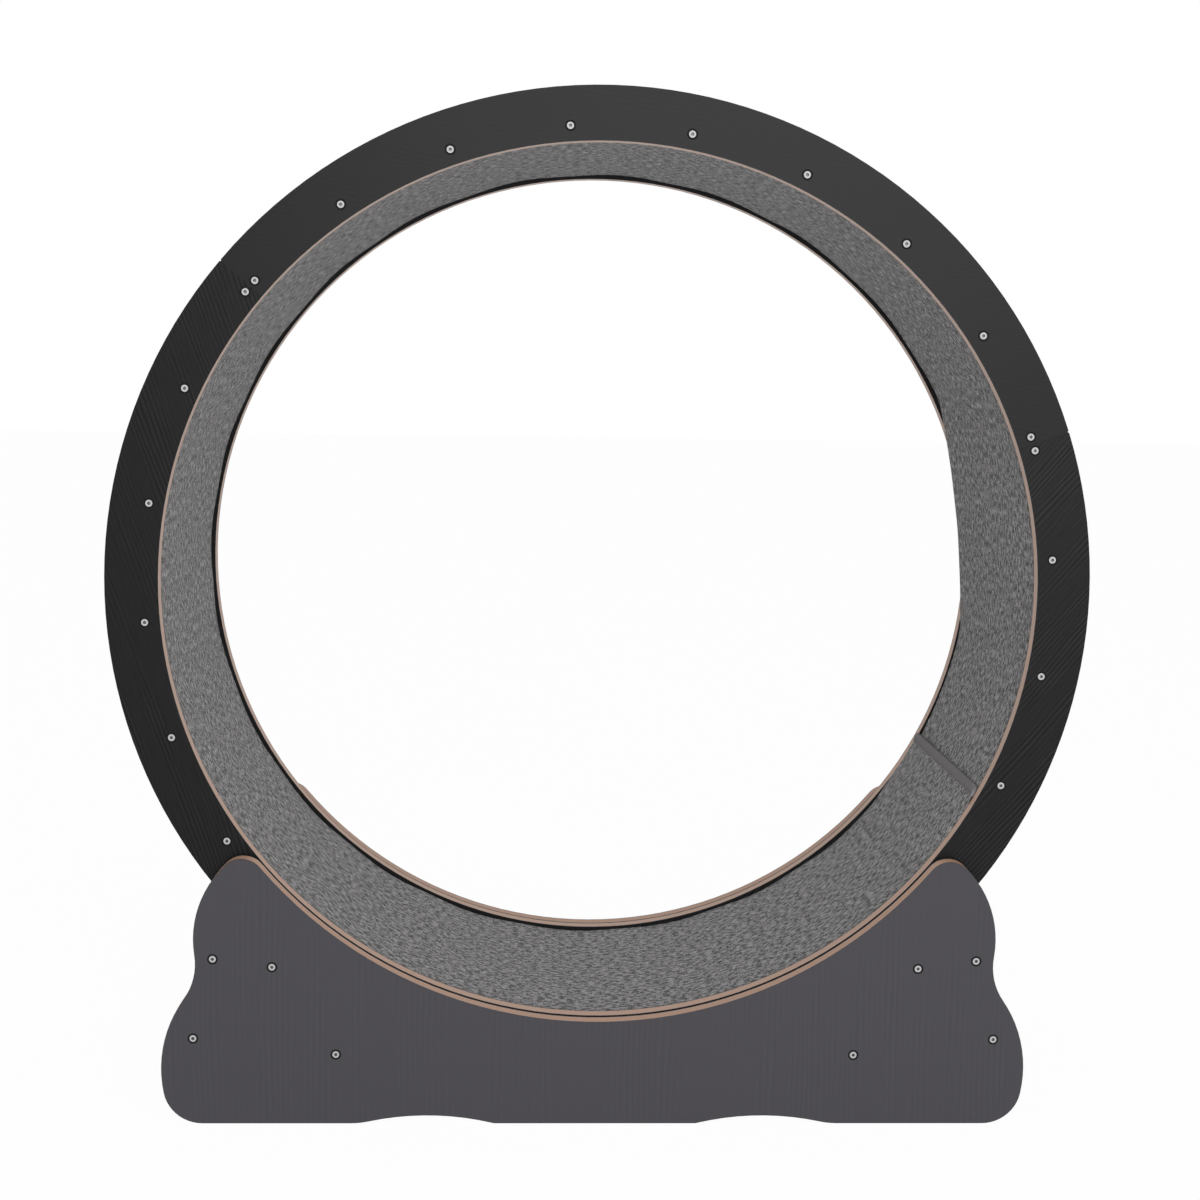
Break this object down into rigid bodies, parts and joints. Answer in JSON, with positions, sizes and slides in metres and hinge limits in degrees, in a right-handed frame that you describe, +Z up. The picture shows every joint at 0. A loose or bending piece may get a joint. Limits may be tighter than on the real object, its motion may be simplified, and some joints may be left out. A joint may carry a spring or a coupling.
{
  "type": "cat exercise wheel",
  "caption": "Carpet-lined running wheel of screwed boards that turns on ball-bearing rollers between two cloud-shaped base panels; a cat runs inside it.",
  "frame": {"origin": "on the floor, under the middle of the wheel, halfway between the two base panels", "axes": "+X to the right seen from the front, +Y from the front to the back along the wheel's axis, +Z up"},
  "size_m": [0.9999, 0.36, 1.055],
  "materials": {
    "ring_laminate": "black wood-grain laminate on fibreboard, raw tan edges",
    "slat_laminate": "black wood-grain laminate on fibreboard, raw tan edges",
    "base_laminate": "matt dark grey laminate on fibreboard, raw tan edges",
    "bar_wood": "turned beech, plain",
    "carpet": "heathered grey needle-felt carpet with fine ribs",
    "binding": "woven dark grey binding tape",
    "screw_steel": "bright zinc-plated steel",
    "shaft_steel": "bright drawn steel",
    "bearing_steel": "ground bearing steel",
    "nylon": "black nylon"
  },
  "bodies": {
    "wheel": {"front_ring_segment_1": "ring_laminate", "front_ring_segment_2": "ring_laminate", "front_ring_segment_3": "ring_laminate", "front_ring_screws": "screw_steel", "back_ring_segment_1": "ring_laminate", "back_ring_segment_2": "ring_laminate", "back_ring_segment_3": "ring_laminate", "back_ring_screws": "screw_steel", "tread_slat_01": "slat_laminate", "tread_slat_02": "slat_laminate", "tread_slat_03": "slat_laminate", "tread_slat_04": "slat_laminate", "tread_slat_05": "slat_laminate", "tread_slat_06": "slat_laminate", "tread_slat_07": "slat_laminate", "tread_slat_08": "slat_laminate", "tread_slat_09": "slat_laminate", "tread_slat_10": "slat_laminate", "tread_slat_11": "slat_laminate", "tread_slat_12": "slat_laminate", "tread_slat_13": "slat_laminate", "tread_slat_14": "slat_laminate", "tread_slat_15": "slat_laminate", "tread_slat_16": "slat_laminate", "tread_slat_17": "slat_laminate", "tread_slat_18": "slat_laminate", "tread_slat_19": "slat_laminate", "tread_slat_20": "slat_laminate", "tread_slat_21": "slat_laminate", "tread_slat_22": "slat_laminate", "tread_slat_23": "slat_laminate", "tread_slat_24": "slat_laminate", "running_carpet": "carpet", "carpet_end_strip": "binding"},
    "base": {"front_base_panel": "base_laminate", "front_base_screws": "screw_steel", "back_base_panel": "base_laminate", "back_base_screws": "screw_steel", "left_end_board": "base_laminate", "left_cross_bar": "bar_wood", "left_roller_shaft": "shaft_steel", "left_spacer_tube": "nylon", "left_guide_discs": "nylon", "left_bearing_inner_races": "bearing_steel", "right_end_board": "base_laminate", "right_cross_bar": "bar_wood", "right_roller_shaft": "shaft_steel", "right_spacer_tube": "nylon", "right_guide_discs": "nylon", "right_bearing_inner_races": "bearing_steel"},
    "front_left_roller": {"front_left_roller": "bearing_steel"},
    "back_left_roller": {"back_left_roller": "bearing_steel"},
    "front_right_roller": {"front_right_roller": "bearing_steel"},
    "back_right_roller": {"back_right_roller": "bearing_steel"}
  },
  "joints": [
    {"name": "wheel_spin", "type": "hinge", "parent": "base", "child": "wheel", "pos_m": [0, 0, 0.555], "axis": [0, 1, 0], "continuous": true},
    {"name": "front_left_roller_spin", "type": "hinge", "parent": "base", "child": "front_left_roller", "pos_m": [-0.33274, -0.1525, 0.16678], "axis": [0, 1, 0], "continuous": true},
    {"name": "front_right_roller_spin", "type": "hinge", "parent": "base", "child": "front_right_roller", "pos_m": [0.33274, -0.1525, 0.16678], "axis": [0, 1, 0], "continuous": true},
    {"name": "back_left_roller_spin", "type": "hinge", "parent": "base", "child": "back_left_roller", "pos_m": [-0.33274, 0.1525, 0.16678], "axis": [0, 1, 0], "continuous": true},
    {"name": "back_right_roller_spin", "type": "hinge", "parent": "base", "child": "back_right_roller", "pos_m": [0.33274, 0.1525, 0.16678], "axis": [0, 1, 0], "continuous": true}
  ],
  "couplings": [
    {"joint": "front_left_roller_spin", "follows": "wheel_spin", "ratio": -45.455},
    {"joint": "front_right_roller_spin", "follows": "wheel_spin", "ratio": -45.455},
    {"joint": "back_left_roller_spin", "follows": "wheel_spin", "ratio": -45.455},
    {"joint": "back_right_roller_spin", "follows": "wheel_spin", "ratio": -45.455}
  ]
}
